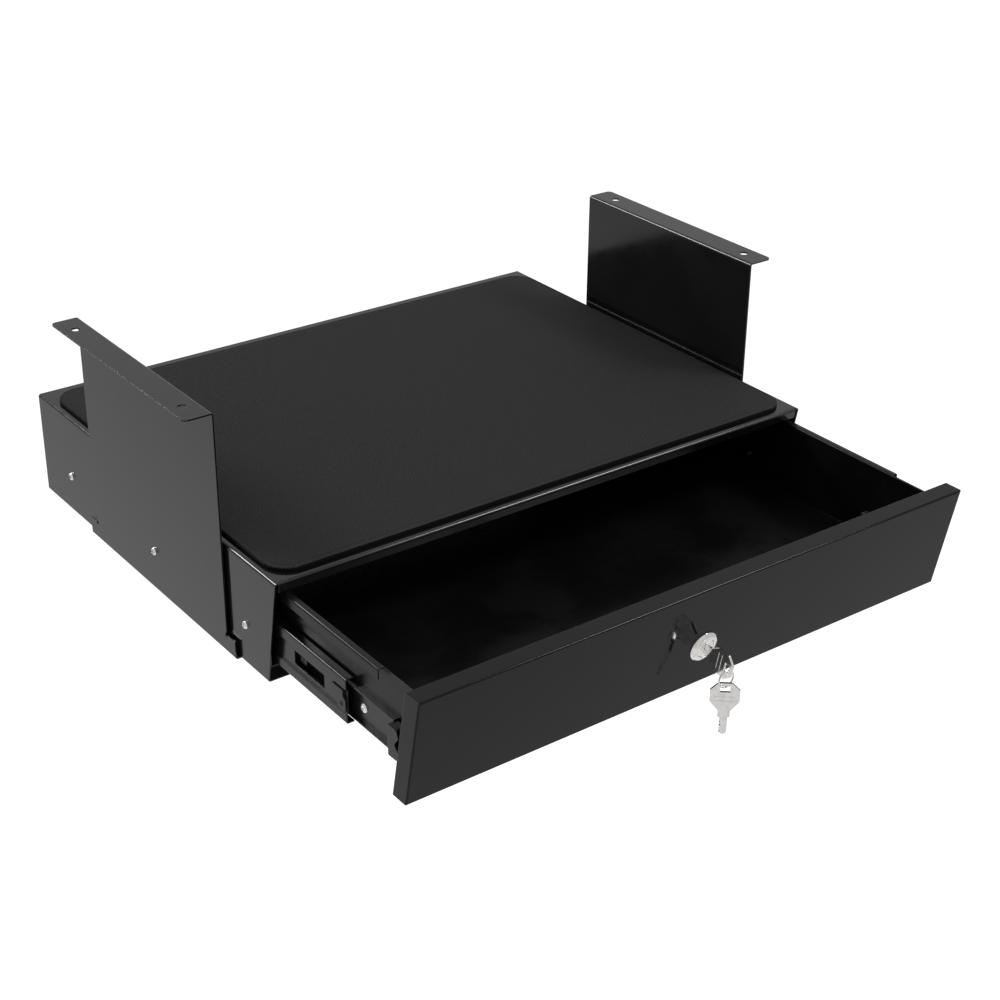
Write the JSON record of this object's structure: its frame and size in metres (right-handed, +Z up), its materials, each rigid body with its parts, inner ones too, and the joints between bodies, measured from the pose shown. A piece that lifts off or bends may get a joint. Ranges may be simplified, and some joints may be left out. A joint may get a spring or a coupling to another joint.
{
  "type": "under desk drawer",
  "caption": "Lockable drawer in a folded sheet-metal case that hangs under a desk top on two brackets, with ball slides and a mat on top.",
  "frame": {"origin": "middle of the four desk screw holes, on the plane where the bracket flanges meet the desk's underside", "axes": "+X to the user's right, +Y away from the user under the desk, +Z up"},
  "size_m": [0.6184, 0.6576, 0.2476],
  "materials": {
    "black_steel": "semi-gloss black powder coat",
    "mat_fabric": "fine black weave on rubber",
    "slide_steel": "black electrophoretic coat",
    "cage_steel": "plain thin steel",
    "ball_steel": "polished and greased",
    "black_plastic": "moulded",
    "zinc": "bright zinc plate",
    "nickel": "bright nickel plate"
  },
  "bodies": {
    "case": {"case_shell": "black_steel", "case_back": "black_steel", "desk_mat": "mat_fabric", "foot_screws": "zinc", "bracket_left": "black_steel", "case_screws_left": "zinc", "bracket_screw_left": "zinc", "slide_outer_left": "slide_steel", "bracket_right": "black_steel", "case_screws_right": "zinc", "bracket_screw_right": "zinc", "slide_outer_right": "slide_steel"},
    "drawer": {"drawer_tray": "black_steel", "drawer_back": "black_steel", "drawer_inner_front": "black_steel", "drawer_front_panel": "black_steel", "front_screws": "zinc", "lock_housing": "nickel", "lock_nut": "nickel", "slide_inner_left": "slide_steel", "slide_stop_left": "black_plastic", "drawer_screws_left": "zinc", "lever_pin_left": "zinc", "slide_inner_right": "slide_steel", "slide_stop_right": "black_plastic", "drawer_screws_right": "zinc", "lever_pin_right": "zinc"},
    "lock_cylinder": {"lock_plug": "nickel", "lock_cam": "nickel", "cam_screw": "zinc"},
    "key": {"key_in_lock": "nickel"},
    "ring": {"key_ring": "nickel"},
    "spare": {"key_spare": "nickel"},
    "middle_left": {"slide_middle_left": "slide_steel", "slide_bumper_left": "black_plastic", "bumper_pin_left": "zinc"},
    "outer_cage_left": {"cage_outer_left": "cage_steel", "balls_outer_left": "ball_steel"},
    "inner_cage_left": {"cage_inner_left": "cage_steel", "balls_inner_left": "ball_steel"},
    "lever_left": {"release_lever_left": "black_plastic"},
    "middle_right": {"slide_middle_right": "slide_steel", "slide_bumper_right": "black_plastic", "bumper_pin_right": "zinc"},
    "outer_cage_right": {"cage_outer_right": "cage_steel", "balls_outer_right": "ball_steel"},
    "inner_cage_right": {"cage_inner_right": "cage_steel", "balls_inner_right": "ball_steel"},
    "lever_right": {"release_lever_right": "black_plastic"}
  },
  "joints": [
    {"name": "drawer_slide", "type": "slide", "parent": "case", "child": "drawer", "axis": [0, -1, 0], "range_m": [-0.178, 0.222]},
    {"name": "middle_left_slide", "type": "slide", "parent": "case", "child": "middle_left", "axis": [0, -1, 0], "range_m": [-0.12104, 0.15096]},
    {"name": "outer_cage_left_roll", "type": "slide", "parent": "case", "child": "outer_cage_left", "axis": [0, -1, 0], "range_m": [-0.06052, 0.07548]},
    {"name": "inner_cage_left_roll", "type": "slide", "parent": "case", "child": "inner_cage_left", "axis": [0, -1, 0], "range_m": [-0.14952, 0.18648]},
    {"name": "lever_left_lift", "type": "hinge", "parent": "drawer", "child": "lever_left", "pos_m": [-0.2686, -0.219, -0.178], "axis": [1, 0, 0], "range_deg": [-6, 6], "stiffness_Nm_per_rad": 0.02},
    {"name": "middle_right_slide", "type": "slide", "parent": "case", "child": "middle_right", "axis": [0, -1, 0], "range_m": [-0.12104, 0.15096]},
    {"name": "outer_cage_right_roll", "type": "slide", "parent": "case", "child": "outer_cage_right", "axis": [0, -1, 0], "range_m": [-0.06052, 0.07548]},
    {"name": "inner_cage_right_roll", "type": "slide", "parent": "case", "child": "inner_cage_right", "axis": [0, -1, 0], "range_m": [-0.14952, 0.18648]},
    {"name": "lever_right_lift", "type": "hinge", "parent": "drawer", "child": "lever_right", "pos_m": [0.2686, -0.219, -0.178], "axis": [1, 0, 0], "range_deg": [-6, 6], "stiffness_Nm_per_rad": 0.02},
    {"name": "lock_turn", "type": "hinge", "parent": "drawer", "child": "lock_cylinder", "pos_m": [0, -0.38553, -0.18], "axis": [0, 0.9824, 0.1867], "range_deg": [0, 90]},
    {"name": "key_pull", "type": "slide", "parent": "lock_cylinder", "child": "key", "axis": [0, -0.9824, -0.1867], "range_m": [0, 0.02]},
    {"name": "ring_swing", "type": "hinge", "parent": "key", "child": "ring", "pos_m": [0, -0.41417, -0.18839], "axis": [1, 0, 0], "range_deg": [-17, 17]},
    {"name": "spare_swing", "type": "hinge", "parent": "ring", "child": "spare", "pos_m": [0, -0.41417, -0.20379], "axis": [1, 0, 0], "range_deg": [-17, 17]}
  ],
  "couplings": [
    {"joint": "middle_left_slide", "follows": "drawer_slide", "ratio": 0.68},
    {"joint": "outer_cage_left_roll", "follows": "drawer_slide", "ratio": 0.34},
    {"joint": "inner_cage_left_roll", "follows": "drawer_slide", "ratio": 0.84},
    {"joint": "middle_right_slide", "follows": "drawer_slide", "ratio": 0.68},
    {"joint": "outer_cage_right_roll", "follows": "drawer_slide", "ratio": 0.34},
    {"joint": "inner_cage_right_roll", "follows": "drawer_slide", "ratio": 0.84}
  ]
}
